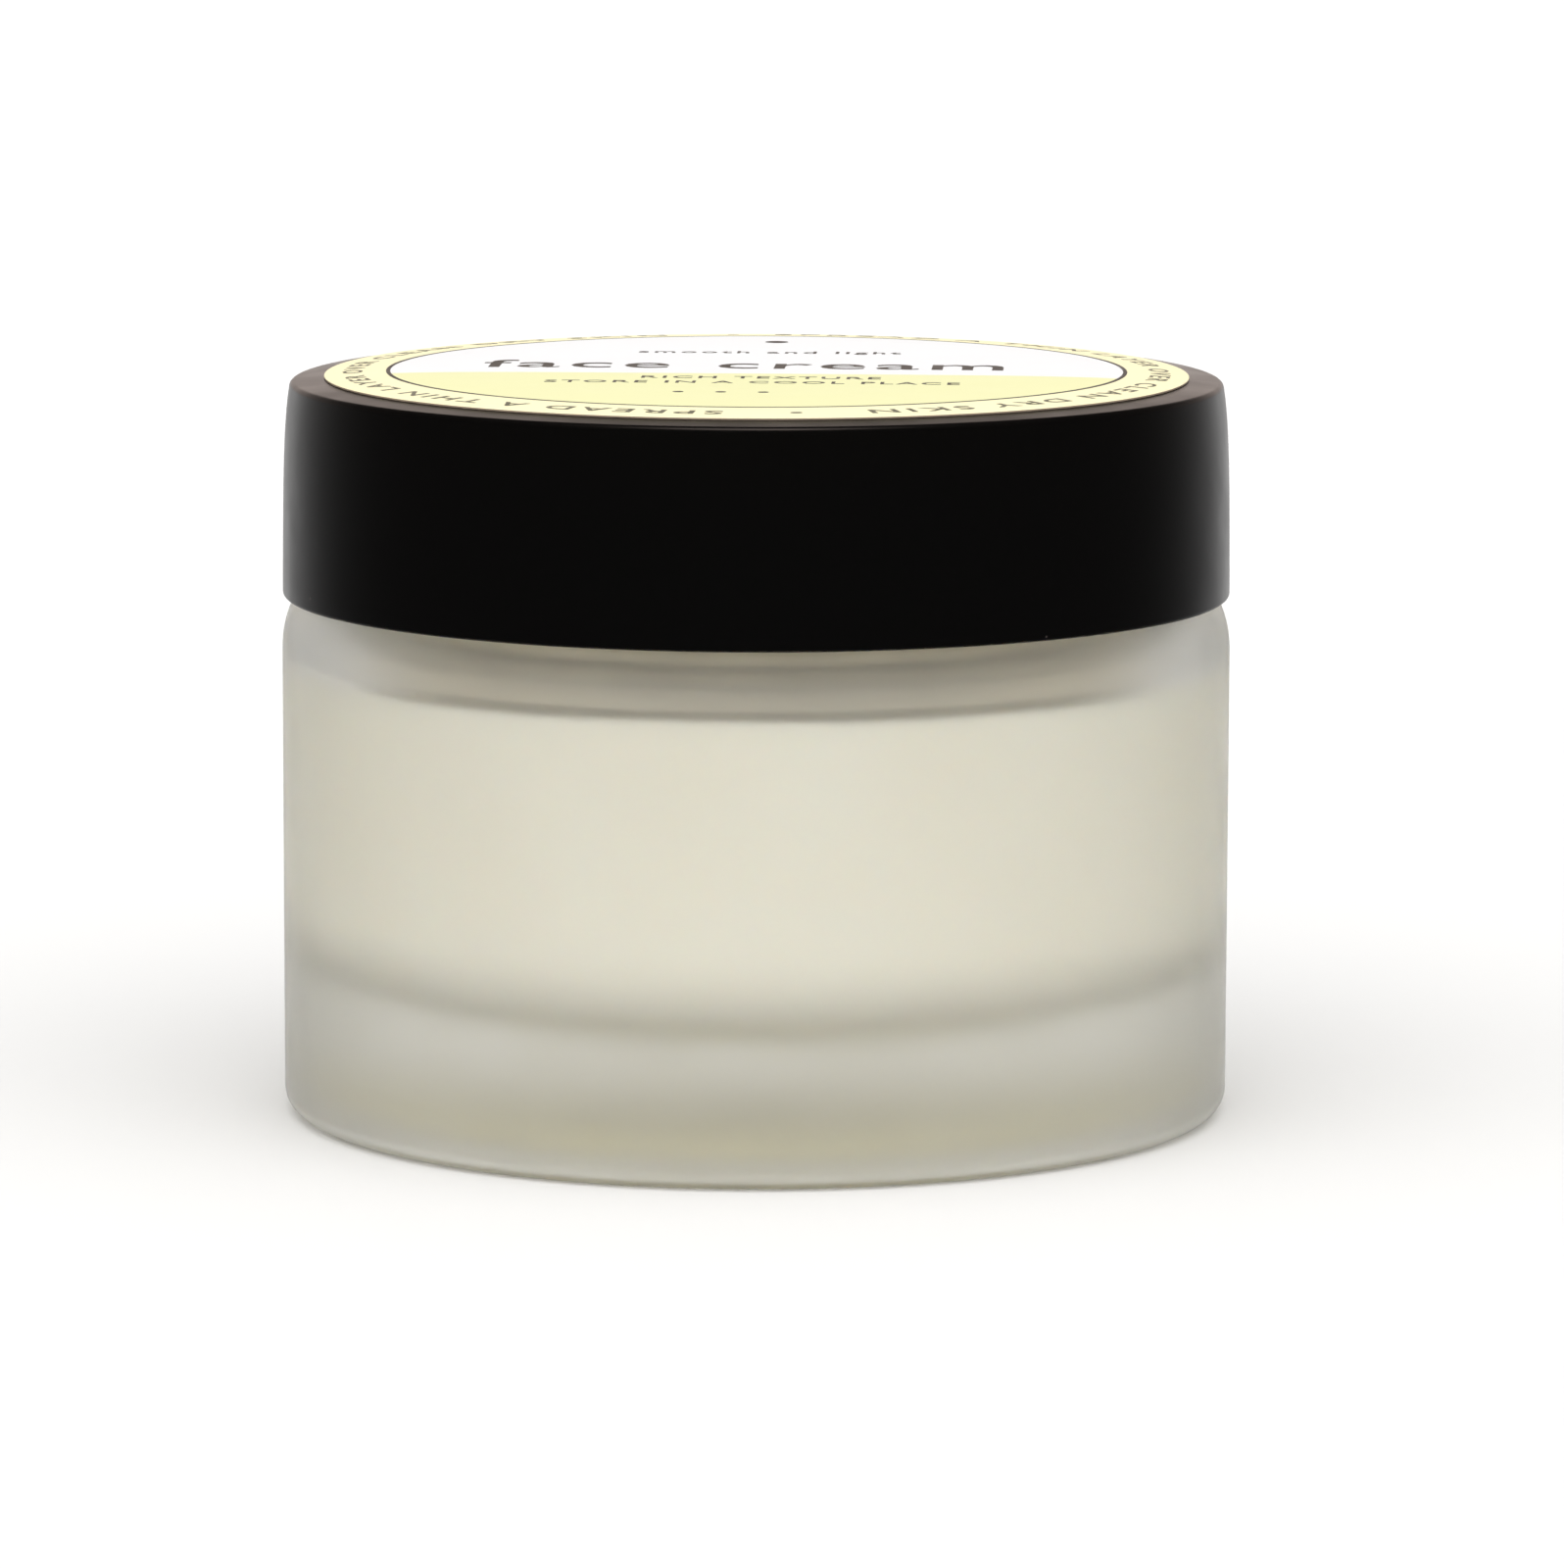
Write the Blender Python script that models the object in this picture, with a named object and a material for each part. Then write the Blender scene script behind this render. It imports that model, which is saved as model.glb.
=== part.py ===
"""Cosmetic cream jar: a frosted glass jar with a black screw lid, as eight separate pieces.

Sizes below are millimetres, and MM turns them into Blender's metres. +Z is up, the origin is
the centre of the foot, and the Z axis is the axis of every turned piece and of the thread.
The lid is closed. It turns anticlockwise, seen from above, to open.
"""

import math

import bmesh
import bpy
from mathutils import Vector

MM = 0.001
SEGMENTS = 48  # facets round every turned piece, all in the same phase
FIT_GAP = 0.3  # clearance between neighbouring pieces
SHARP_ANGLE = math.radians(32)

# Glass jar, outside
JAR_RADIUS = 32.0
HEEL_ROUND = 1.6
FOOT_INNER_RADIUS = 26.0
BASE_RECESS = 1.2
SHOULDER_START_Z = 31.5
SHOULDER_RISE = 4.65
SHOULDER_INSET = 2.75
LEDGE_Z = SHOULDER_START_Z + SHOULDER_RISE
NECK_RADIUS = 27.4
RIM_Z = 44.5
RIM_ROUND = 0.6

# Glass jar, inside
CAVITY_RADIUS = 27.6
CAVITY_FLOOR_Z = 7.0
CAVITY_BOWL = 100.0  # radius of the bowl-shaped floor
CAVITY_CORNER = 5.0
CAVITY_TOP_Z = 30.8
THROAT_Z = 36.4
MOUTH_RADIUS = 24.0

# Two-start, right-hand screw thread. The jar's ridges press down on the lid's.
THREAD_LEAD = 8.0
THREAD_STARTS = 2
THREAD_HEIGHT = 1.2
THREAD_ROOT_WIDTH = 1.8
THREAD_CREST_WIDTH = 0.8
THREAD_SINK = 0.45  # how deep a ridge is rooted in its wall
THREAD_FADE = math.radians(22.5)
JAR_THREAD_BOTTOM_Z = 38.4
JAR_THREAD_SWEEP = math.radians(195)
LID_THREAD_DROP = 1.5
LID_THREAD_SWEEP = math.radians(135)

# Cream
CREAM_LEVEL_Z = 30.2
CREAM_PEAK_Z = 30.8
CREAM_HOLLOW_Z = 29.7

# Sealing disc, dropped into the mouth and resting on the rim
DISC_FLANGE_Z = RIM_Z + FIT_GAP
DISC_FLANGE_RADIUS = 26.6
DISC_SKIN = 0.7
DISC_CUP_RADIUS = 23.6
DISC_CUP_Z = 42.5
DISC_RIB_RADIUS = 12.0
DISC_RIB_HEIGHT = 0.5
GRIP_LENGTH = 15.0
GRIP_WIDTH = 1.8
GRIP_HEIGHT = 1.7

# Foam liner
LINER_Z = DISC_FLANGE_Z + DISC_SKIN + FIT_GAP
LINER_THICKNESS = 1.0
LINER_RADIUS = 27.5

# Inner cap, which carries the female thread
CAP_CEILING_Z = LINER_Z + LINER_THICKNESS + FIT_GAP
CAP_TOP_Z = CAP_CEILING_Z + 1.1
CAP_RADIUS = 29.95
CAP_BORE = 28.95
CAP_BOTTOM_Z = 36.75
BEAD_Z = 41.0
BEAD_HEIGHT = 0.35
BEAD_HALF_WIDTH = 0.7
SPLINE_BOTTOM_Z = 43.8
SPLINE_DEPTH = 0.5
SPLINE_RAMP = 0.4

# Outer shell of the lid
SHELL_RADIUS = 31.95
SHELL_BOTTOM_Z = 35.1
SHELL_BORE = CAP_RADIUS + FIT_GAP
SHELL_CEILING_Z = CAP_TOP_Z + FIT_GAP
SHELL_TOP_Z = 50.13
SHELL_BEVEL_Z = 36.45
SHELL_EDGE_ROUND = 0.4
CROWN_DROP = 0.60
CROWN_RADIUS = 31.05
CROWN_POWER = 6
CROWN_RINGS = (18.0, 23.5, 26.5)

# Labels
LABEL_THICKNESS = 0.10
LABEL_GLUE = 0.08
TOP_LABEL_RADIUS = 29.1
BASE_LABEL_RADIUS = 22.0


def clear_scene():
    for item in list(bpy.data.objects):
        bpy.data.objects.remove(item, do_unlink=True)


def material(name, colour, roughness, transmission=0.0):
    """A Principled material; colour is linear RGB."""
    made = bpy.data.materials.new(name)
    made.use_nodes = True
    shader = made.node_tree.nodes["Principled BSDF"]
    shader.inputs["Base Color"].default_value = (*colour, 1.0)
    shader.inputs["Roughness"].default_value = roughness
    shader.inputs["Metallic"].default_value = 0.0
    shader.inputs["Transmission Weight"].default_value = transmission
    made.diffuse_color = (*colour, 1.0)
    return made


def empty(name, height):
    """A reference empty on the Z axis."""
    made = bpy.data.objects.new(name, None)
    made.location.z = height * MM
    bpy.context.collection.objects.link(made)
    return made


def arc(centre, radii, start, end, steps):
    """Points on an ellipse's arc, both ends included. Angles are in degrees from +X to +Z."""
    points = []
    for step in range(steps + 1):
        angle = math.radians(start + (end - start) * step / steps)
        points.append((centre[0] + radii[0] * math.cos(angle), centre[1] + radii[1] * math.sin(angle)))
    return points


def finish(mesh, name, finish_material, parent=None):
    """Turn a bmesh, whose points are in millimetres from the foot, into a placed object."""
    base = parent.location.z if parent else 0.0
    bmesh.ops.recalc_face_normals(mesh, faces=mesh.faces)
    bmesh.ops.scale(mesh, vec=(MM, MM, MM), verts=mesh.verts)
    bmesh.ops.translate(mesh, vec=(0.0, 0.0, -base), verts=mesh.verts)
    data = bpy.data.meshes.new(name)
    mesh.to_mesh(data)
    mesh.free()
    if finish_material:
        data.materials.append(finish_material)
    data.shade_smooth()
    data.set_sharp_from_angle(angle=SHARP_ANGLE)
    made = bpy.data.objects.new(name, data)
    made.parent = parent
    bpy.context.collection.objects.link(made)
    return made


def turned(name, outline, finish_material, parent=None):
    """A closed solid turned from an outline of (radius, height[, lobe depth]) from axis to axis.

    A lobe depth draws two facets in every four inwards, which makes a spline of wide lobes.
    """
    mesh = bmesh.new()
    rings = []
    for radius, height, *lobe in outline:
        if radius == 0:
            rings.append([mesh.verts.new((0.0, 0.0, height))])
            continue
        ring = []
        for index in range(SEGMENTS):
            angle = math.tau * index / SEGMENTS
            reach = radius - (lobe[0] if lobe and index % 4 > 1 else 0.0)
            ring.append(mesh.verts.new((reach * math.cos(angle), reach * math.sin(angle), height)))
        rings.append(ring)
    for lower, upper in zip(rings, rings[1:]):
        for index in range(SEGMENTS):
            after = (index + 1) % SEGMENTS
            if len(lower) == 1:
                mesh.faces.new((lower[0], upper[after], upper[index]))
            elif len(upper) == 1:
                mesh.faces.new((lower[index], lower[after], upper[0]))
            else:
                mesh.faces.new((lower[index], lower[after], upper[after], upper[index]))
    return finish(mesh, name, finish_material, parent)


def thread_ridges(name, wall_radius, outward, bottom_z, sweep, parent=None):
    """One helical ridge for each start, standing outward (1) or inward (-1) from a wall.

    A ridge rises by THREAD_LEAD in a turn, and fades into its wall at both ends.
    """
    mesh = bmesh.new()
    steps = round(sweep / math.tau * SEGMENTS)
    for start in range(THREAD_STARTS):
        sections = []
        for step in range(steps + 1):
            turn = sweep * step / steps
            angle = turn + math.tau * start / THREAD_STARTS
            centre_z = bottom_z + THREAD_LEAD * turn / math.tau
            fade = min(1.0, turn / THREAD_FADE, (sweep - turn) / THREAD_FADE)
            crest = wall_radius + outward * (THREAD_HEIGHT * fade - THREAD_SINK / 2 * (1 - fade))
            root = wall_radius - outward * THREAD_SINK
            section = []
            for radius, offset in (
                (root, -THREAD_ROOT_WIDTH / 2),
                (crest, -THREAD_CREST_WIDTH / 2),
                (crest, THREAD_CREST_WIDTH / 2),
                (root, THREAD_ROOT_WIDTH / 2),
            ):
                section.append(
                    mesh.verts.new((radius * math.cos(angle), radius * math.sin(angle), centre_z + offset))
                )
            sections.append(section)
        for near, far in zip(sections, sections[1:]):
            for corner in range(4):
                after = (corner + 1) % 4
                mesh.faces.new((near[corner], near[after], far[after], far[corner]))
        mesh.faces.new(sections[0])
        mesh.faces.new(sections[-1])
    return finish(mesh, name, None, parent)


def join_to(target, helper):
    """Join a helper to a solid with a Boolean union, and hide the helper."""
    union = target.modifiers.new(helper.name, "BOOLEAN")
    union.operation = "UNION"
    union.solver = "EXACT"
    union.object = helper
    helper.hide_render = True
    helper.display_type = "WIRE"


def crown_z(radius, top_z):
    """Height of the lid's low crown, which falls away towards its edge."""
    return top_z - CROWN_DROP * (radius / CROWN_RADIUS) ** CROWN_POWER


def bowl(gap):
    """The cavity from its wall down to the axis, or the filling's side a gap inside it.

    The corner's arc runs smoothly into the bowl's, because both have their centres on one line.
    """
    wall = CAVITY_RADIUS - gap
    corner = CAVITY_CORNER - gap
    curve = CAVITY_BOWL - gap
    centre_z = CAVITY_FLOOR_Z + CAVITY_BOWL
    lean = math.asin((wall - corner) / (curve - corner))
    corner_centre = (wall - corner, centre_z - (curve - corner) * math.cos(lean))
    meeting = math.degrees(lean) - 90
    points = arc(corner_centre, (corner, corner), 0, meeting, 4)
    points += arc((0, centre_z), (curve, curve), meeting, -90, 3)[1:-1]
    return points + [(0, CAVITY_FLOOR_Z + gap)]


def glass_jar():
    """Jar with a thick base, straight wall, soft shoulder and threaded neck."""
    outline = [(0, BASE_RECESS), (FOOT_INNER_RADIUS - 0.6, BASE_RECESS), (FOOT_INNER_RADIUS, 0)]
    heel_centre = (JAR_RADIUS - HEEL_ROUND, HEEL_ROUND)
    outline += arc(heel_centre, (HEEL_ROUND, HEEL_ROUND), -90, 0, 3)
    shoulder_centre = (JAR_RADIUS - SHOULDER_INSET, SHOULDER_START_Z)
    outline += arc(shoulder_centre, (SHOULDER_INSET, SHOULDER_RISE), 0, 90, 5)
    outline += [(NECK_RADIUS + 0.5, LEDGE_Z), (NECK_RADIUS, LEDGE_Z + 0.5)]
    rim_round = (RIM_ROUND, RIM_ROUND)
    outline += arc((NECK_RADIUS - RIM_ROUND, RIM_Z - RIM_ROUND), rim_round, 0, 90, 2)
    outline += arc((MOUTH_RADIUS + RIM_ROUND, RIM_Z - RIM_ROUND), rim_round, 90, 180, 2)
    outline += [(MOUTH_RADIUS, THROAT_Z), (MOUTH_RADIUS + 0.6, THROAT_Z - 0.9)]
    inner_shoulder = (CAVITY_RADIUS - MOUTH_RADIUS, 4.4)
    outline += arc((MOUTH_RADIUS, CAVITY_TOP_Z), inner_shoulder, 60, 0, 2)
    outline += bowl(0.0)
    frosted = material("frosted_glass", (0.60, 0.58, 0.50), 0.45, transmission=0.8)
    jar = turned("glass_jar", outline, frosted)
    ridges = thread_ridges(
        "jar_thread_ridges", NECK_RADIUS, 1, JAR_THREAD_BOTTOM_Z, JAR_THREAD_SWEEP
    )
    join_to(jar, ridges)


def cream():
    """The filling, clear of the glass by the fit gap, with a soft peak in its surface."""
    wall = CAVITY_RADIUS - FIT_GAP
    outline = bowl(FIT_GAP)[::-1]
    outline += [(wall, CREAM_LEVEL_Z), (wall - 9, CREAM_HOLLOW_Z), (6, CREAM_HOLLOW_Z), (0, CREAM_PEAK_Z)]
    turned("cream", outline, material("cream", (0.94, 0.91, 0.79), 0.4))


def sealing_disc(seat):
    """A thin dished disc: flange on the rim, shallow cup in the mouth, rib and finger grip."""
    plate = DISC_CUP_Z + DISC_SKIN
    bore = DISC_CUP_RADIUS - DISC_SKIN
    flange_top = DISC_FLANGE_Z + DISC_SKIN
    rib = DISC_RIB_RADIUS
    outline = [
        (0, DISC_CUP_Z),
        (DISC_CUP_RADIUS - 0.4, DISC_CUP_Z),
        (DISC_CUP_RADIUS, DISC_CUP_Z + 0.4),
        (DISC_CUP_RADIUS, DISC_FLANGE_Z),
        (DISC_FLANGE_RADIUS, DISC_FLANGE_Z),
        (DISC_FLANGE_RADIUS, flange_top),
        (bore, flange_top),
        (bore, plate),
        (rib + 0.5, plate),
        (rib, plate + DISC_RIB_HEIGHT),
        (rib - 0.5, plate),
        (0, plate),
    ]
    plastic = material("sealing_plastic", (0.72, 0.73, 0.71), 0.35)
    disc = turned("sealing_disc", outline, plastic, seat)
    mesh = bmesh.new()
    bmesh.ops.create_cube(mesh, size=1.0)
    grip_size = Vector((GRIP_LENGTH, GRIP_WIDTH, GRIP_HEIGHT + DISC_SKIN / 2))
    bmesh.ops.scale(mesh, vec=grip_size, verts=mesh.verts)
    top_z = plate + GRIP_HEIGHT
    bmesh.ops.translate(mesh, vec=(0, 0, top_z - grip_size.z / 2), verts=mesh.verts)
    join_to(disc, finish(mesh, "disc_grip", None, seat))


def liner_wad(seat):
    """The foam liner between the inner cap's ceiling and the sealing disc."""
    outline = [(0, LINER_Z), (LINER_RADIUS, LINER_Z)]
    outline += [(LINER_RADIUS, LINER_Z + LINER_THICKNESS), (0, LINER_Z + LINER_THICKNESS)]
    turned("liner_wad", outline, material("liner_foam", (0.86, 0.86, 0.84), 0.7), seat)


def lid_inner_cap(seat):
    """Inner cap: female thread, a snap bead half way up and splines that stop it turning."""
    bead = CAP_RADIUS + BEAD_HEIGHT
    outline = [
        (0, CAP_CEILING_Z),
        (CAP_BORE, CAP_CEILING_Z),
        (CAP_BORE, CAP_BOTTOM_Z + 0.4),
        (CAP_BORE + 0.4, CAP_BOTTOM_Z),
        (CAP_RADIUS, CAP_BOTTOM_Z),
        (CAP_RADIUS, BEAD_Z - BEAD_HALF_WIDTH),
        (bead, BEAD_Z),
        (CAP_RADIUS, BEAD_Z + BEAD_HALF_WIDTH),
        (CAP_RADIUS, SPLINE_BOTTOM_Z),
        (CAP_RADIUS, SPLINE_BOTTOM_Z + SPLINE_RAMP, SPLINE_DEPTH),
        (CAP_RADIUS, CAP_TOP_Z - 0.5, SPLINE_DEPTH),
        (CAP_RADIUS - 0.5, CAP_TOP_Z, SPLINE_DEPTH),
        (0, CAP_TOP_Z),
    ]
    cap = turned("lid_inner_cap", outline, material("cap_plastic", (0.80, 0.80, 0.78), 0.4), seat)
    bottom_z = JAR_THREAD_BOTTOM_Z - LID_THREAD_DROP
    bottom_z += THREAD_LEAD * THREAD_FADE / math.tau
    ridges = thread_ridges("cap_thread_ridges", CAP_BORE, -1, bottom_z, LID_THREAD_SWEEP, seat)
    ridges.rotation_euler.z = THREAD_FADE
    join_to(cap, ridges)


def lid_outer_shell(seat):
    """Black outer shell: side that draws in slightly towards the top, crisp edge, low crown."""
    groove = SHELL_BORE + BEAD_HEIGHT + 0.1
    spline_z = SPLINE_BOTTOM_Z + SPLINE_RAMP
    outline = [
        (0, SHELL_CEILING_Z),
        (SHELL_BORE - 0.5, SHELL_CEILING_Z, SPLINE_DEPTH),
        (SHELL_BORE, SHELL_CEILING_Z - 0.5, SPLINE_DEPTH),
        (SHELL_BORE, spline_z + SPLINE_RAMP, SPLINE_DEPTH),
        (SHELL_BORE, spline_z),
        (SHELL_BORE, BEAD_Z + BEAD_HALF_WIDTH + FIT_GAP),
        (groove, BEAD_Z + FIT_GAP),
        (groove, BEAD_Z - FIT_GAP),
        (SHELL_BORE, BEAD_Z - BEAD_HALF_WIDTH - FIT_GAP),
        (SHELL_BORE, SHELL_BEVEL_Z),
        (SHELL_RADIUS - 0.55, SHELL_BOTTOM_Z),
        (SHELL_RADIUS - 0.2, SHELL_BOTTOM_Z),
        (SHELL_RADIUS, SHELL_BOTTOM_Z + 0.25),
        (SHELL_RADIUS - 0.13, 42.5),
        (SHELL_RADIUS - 0.23, 45.8),
        (SHELL_RADIUS - 0.38, 47.3),
        (SHELL_RADIUS - 0.49, 48.7),
    ]
    edge_centre = (CROWN_RADIUS, crown_z(CROWN_RADIUS, SHELL_TOP_Z) - SHELL_EDGE_ROUND)
    outline += arc(edge_centre, (SHELL_EDGE_ROUND, SHELL_EDGE_ROUND), 15, 90, 2)
    radii = (30.2, TOP_LABEL_RADIUS, *reversed(CROWN_RINGS))
    outline += [(radius, crown_z(radius, SHELL_TOP_Z)) for radius in radii]
    outline += [(0, SHELL_TOP_Z)]
    turned("lid_outer_shell", outline, material("black_satin", (0.008, 0.007, 0.007), 0.35), seat)


def top_label(seat):
    """Round label that follows the lid's crown."""
    lower_z = SHELL_TOP_Z + LABEL_GLUE
    upper_z = lower_z + LABEL_THICKNESS
    radii = (*CROWN_RINGS, TOP_LABEL_RADIUS)
    outline = [(0, lower_z)]
    outline += [(radius, crown_z(radius, lower_z)) for radius in radii]
    outline += [(radius, crown_z(radius, upper_z)) for radius in reversed(radii)]
    outline += [(0, upper_z)]
    turned("top_label", outline, material("label_paper", (0.94, 0.91, 0.66), 0.4), seat)


def base_label():
    """Round label in the recess under the jar."""
    upper_z = BASE_RECESS - LABEL_GLUE
    lower_z = upper_z - LABEL_THICKNESS
    outline = [(0, lower_z), (BASE_LABEL_RADIUS, lower_z), (BASE_LABEL_RADIUS, upper_z), (0, upper_z)]
    turned("base_label", outline, material("base_label_paper", (0.93, 0.86, 0.50), 0.5))


def build():
    clear_scene()
    glass_jar()
    cream()
    base_label()
    sealing_disc(empty("disc_lift_axis", DISC_FLANGE_Z))
    liner_wad(empty("lid_rise_axis", LINER_Z))
    lid_axis = empty("lid_turn_axis", SHELL_BOTTOM_Z)
    lid_inner_cap(lid_axis)
    lid_outer_shell(lid_axis)
    top_label(lid_axis)


build()
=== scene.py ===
"""Looks of the cosmetic cream jar: frosted glass, cream, satin lid, labels and what the lid hides.

Every piece is built here at fine resolution inside the space of its CAD node. Sizes are
millimetres, read from the CAD nodes in model.glb where those hold them, and MM turns them into metres.
"""

import math

import bmesh
import bpy
from mathutils import Matrix, Vector, noise

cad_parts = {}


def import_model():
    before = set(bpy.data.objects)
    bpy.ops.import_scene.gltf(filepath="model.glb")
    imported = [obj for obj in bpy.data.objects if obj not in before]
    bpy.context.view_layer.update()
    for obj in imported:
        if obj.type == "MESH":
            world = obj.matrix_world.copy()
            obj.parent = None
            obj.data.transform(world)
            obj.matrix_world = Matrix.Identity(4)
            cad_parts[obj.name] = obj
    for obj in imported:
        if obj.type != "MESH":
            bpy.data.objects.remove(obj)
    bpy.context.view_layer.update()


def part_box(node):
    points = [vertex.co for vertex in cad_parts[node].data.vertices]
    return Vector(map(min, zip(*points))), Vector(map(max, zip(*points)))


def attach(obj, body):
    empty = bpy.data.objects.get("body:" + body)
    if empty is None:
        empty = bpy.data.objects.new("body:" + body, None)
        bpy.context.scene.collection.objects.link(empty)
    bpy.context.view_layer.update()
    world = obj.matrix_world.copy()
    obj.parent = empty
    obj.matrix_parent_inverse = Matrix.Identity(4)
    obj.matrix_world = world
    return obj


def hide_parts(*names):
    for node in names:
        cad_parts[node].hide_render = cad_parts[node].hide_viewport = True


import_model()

MM = 0.001


def node_size(node):
    """(radius, lowest, highest) of a turned CAD node, in millimetres."""
    low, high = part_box(node)
    return high.x / MM, low.z / MM, high.z / MM


JAR_RADIUS, _, RIM_Z = node_size("glass_jar")
SHELL_RADIUS, SHELL_BOTTOM_Z, SHELL_TOP_Z = node_size("lid_outer_shell")
LABEL_RADIUS, _, LABEL_TOP_Z = node_size("top_label")
CREAM_RADIUS, CREAM_FLOOR_Z, CREAM_PEAK_Z = node_size("cream")
DISC_RADIUS, DISC_CUP_Z, DISC_TOP_Z = node_size("sealing_disc")
LINER_RADIUS, LINER_Z, LINER_TOP_Z = node_size("liner_wad")
CAP_BEAD_RADIUS, CAP_BOTTOM_Z, CAP_TOP_Z = node_size("lid_inner_cap")
FOOT_LABEL_RADIUS, FOOT_LABEL_Z, FOOT_LABEL_TOP_Z = node_size("base_label")

SEGMENTS = 192
SHARP_EDGE = math.radians(35)
FIT_GAP = 0.3  # clearance that the CAD pieces keep

# Jar details, which repeat the CAD's
HEEL_ROUND = 1.6
FOOT_INNER_RADIUS = 26.0
BASE_RECESS = 1.2
SHOULDER_START_Z = 31.5
SHOULDER_RISE = 4.65
SHOULDER_INSET = 2.75
LEDGE_Z = SHOULDER_START_Z + SHOULDER_RISE
NECK_RADIUS = 27.4
MOUTH_RADIUS = 24.0
THROAT_Z = 36.4
CAVITY_RADIUS = CREAM_RADIUS + FIT_GAP
CAVITY_FLOOR_Z = CREAM_FLOOR_Z - FIT_GAP
CAVITY_BOWL = 100.0  # radius of the bowl-shaped floor
CAVITY_CORNER = 5.0
CAVITY_MIDDLE_Z = 20.0
CAVITY_TOP_Z = 30.8
CREAM_LEVEL_Z = 30.2
CREAM_EDGE_WIDTH = 2.0  # of the surface's edge, which turns up to the glass
CREAM_SURFACE_Z = CREAM_LEVEL_Z - 0.3
CREAM_RINGS = 28
CREAM_WETTING = 0.02  # how far the cream reaches into the glass, so that no air lies between

# Thread
THREAD_LEAD = 8.0
THREAD_STARTS = 2
THREAD_HEIGHT = 1.2
THREAD_ROOT_WIDTH = 1.8
THREAD_CREST_WIDTH = 0.8
THREAD_FADE = math.radians(22.5)
JAR_THREAD_BOTTOM_Z = 38.4
JAR_THREAD_SWEEP = math.radians(195)
CAP_THREAD_BOTTOM_Z = JAR_THREAD_BOTTOM_Z - 1.5 + THREAD_LEAD * THREAD_FADE / math.tau
CAP_THREAD_SWEEP = math.radians(135)

# Lid details
CAP_BORE = 28.95
CAP_RADIUS = 29.95
CAP_CEILING_Z = LINER_TOP_Z + FIT_GAP
BEAD_Z = 41.0
BEAD_HALF_WIDTH = 0.7
SPLINE_COUNT = 12
SPLINE_DEPTH = 0.5
SPLINE_BOTTOM_Z = 43.8
SPLINE_RAMP = 0.4
SHELL_BORE = CAP_RADIUS + FIT_GAP
SHELL_CEILING_Z = CAP_TOP_Z + FIT_GAP
SHELL_BEVEL_Z = 36.45
SHELL_SIDE_Z = 36.5  # where the shell's side starts, above its rounded lower edge
SIDE_DRAW_IN = 0.49  # how much narrower the shell is under its top edge
SHELL_EDGE_ROUND = 0.4
CROWN_DROP = 0.60
CROWN_RADIUS = 31.05
CROWN_POWER = 6
CROWN_START = 26.0  # outside this radius the crown falls fast enough to need more rings
CROWN_FLAT = 8.0  # inside this radius the crown is as good as flat

# Lid label print. Its lines are turned a little from the +X direction.
PRINT_TURN = math.radians(-3.0)
PRINT_THICKNESS = 0.012
CAP_HEIGHT = 0.72  # of a capital letter, as a share of the font's size
RING_LINE_RADIUS = 24.8
RING_LINE_WIDTH = 0.28
RING_TEXT_RADIUS = 27.05
TONE_EDGE_Y = -4.0

# Glass
CLEAR_GLASS = (1.0, 0.995, 0.975)
CREAM_FILM_AND_PAINTED_SHADE = (0.86, 0.78, 0.60)  # tint of a thin cream film on the glass above the cream, darkened as painted shade under the lid
CLEAR_ROUGHNESS = 0.03
# Share of light that the etched surface scatters back, at the foot and at the shoulder
FOOT_VEIL = 0.11
SHOULDER_VEIL = 0.04

# Studio. Matt surfaces are lit by a white tent with a brighter key side. Glossy ones mirror a back
# light that fades a little above the horizon, and a round light over the jar.
TENT_LIGHT = 0.82
KEY_LIGHT = 1.45
KEY_DIRECTION = (0.0, -0.85, 0.53)
BACK_LIGHT = 1.25
BACK_FOCUS = 12.5
TOP_LIGHT = 3.0
TOP_DIRECTION = (0.0, -0.276, 0.961)
BACKDROP = (1.0, 1.0, 0.995)
FLOOR_RADIUS = 6000

# Camera, with its angles in radians
CAMERA_PLACE = (0.0, -561.6, 104.54)
CAMERA_PITCH = math.radians(8.364)  # downwards
CAMERA_YAW = 0.00316
CAMERA_ROLL = 0.0026
CAMERA_LENS = 192.11
CAMERA_SENSOR = 36.0


# ---------------------------------------------------------------- shapes


def arc(centre, radii, start, end, steps):
    """Points on an ellipse's arc, both ends included. Angles are in degrees from +X to +Z."""
    points = []
    for step in range(steps + 1):
        angle = math.radians(start + (end - start) * step / steps)
        points.append((centre[0] + radii[0] * math.cos(angle), centre[1] + radii[1] * math.sin(angle)))
    return points


def rounded(corners, steps=5):
    """An outline from (radius, height, fillet) corners, with each fillet drawn as an arc."""
    points = []
    for index, (radius, height, fillet) in enumerate(corners):
        here = Vector((radius, height))
        if not fillet or index in (0, len(corners) - 1):
            points.append(tuple(here))
            continue
        before = Vector(corners[index - 1][:2]) - here
        after = Vector(corners[index + 1][:2]) - here
        half = before.angle(after) / 2
        reach = min(fillet / math.tan(half), before.length / 2, after.length / 2)
        size = reach * math.tan(half)
        middle = (before.normalized() + after.normalized()).normalized()
        centre = here + middle * size / math.sin(half)
        first = here + before.normalized() * reach - centre
        last = here + after.normalized() * reach - centre
        for step in range(steps + 1):
            points.append(tuple(centre + first.slerp(last, step / steps).normalized() * size))
    return points


def dense(points, low, high, step):
    """The outline with its steep stretches between two heights cut into short steps."""
    result = [points[0]]
    for start, end in zip(points, points[1:]):
        inside = min(start[1], end[1]) < high and max(start[1], end[1]) > low
        rise = abs(end[1] - start[1])
        count = math.ceil(rise / step) if inside and rise > abs(end[0] - start[0]) else 1
        for index in range(1, count + 1):
            share = index / count
            result.append(tuple(a + (b - a) * share for a, b in zip(start, end)))
    return result


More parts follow.
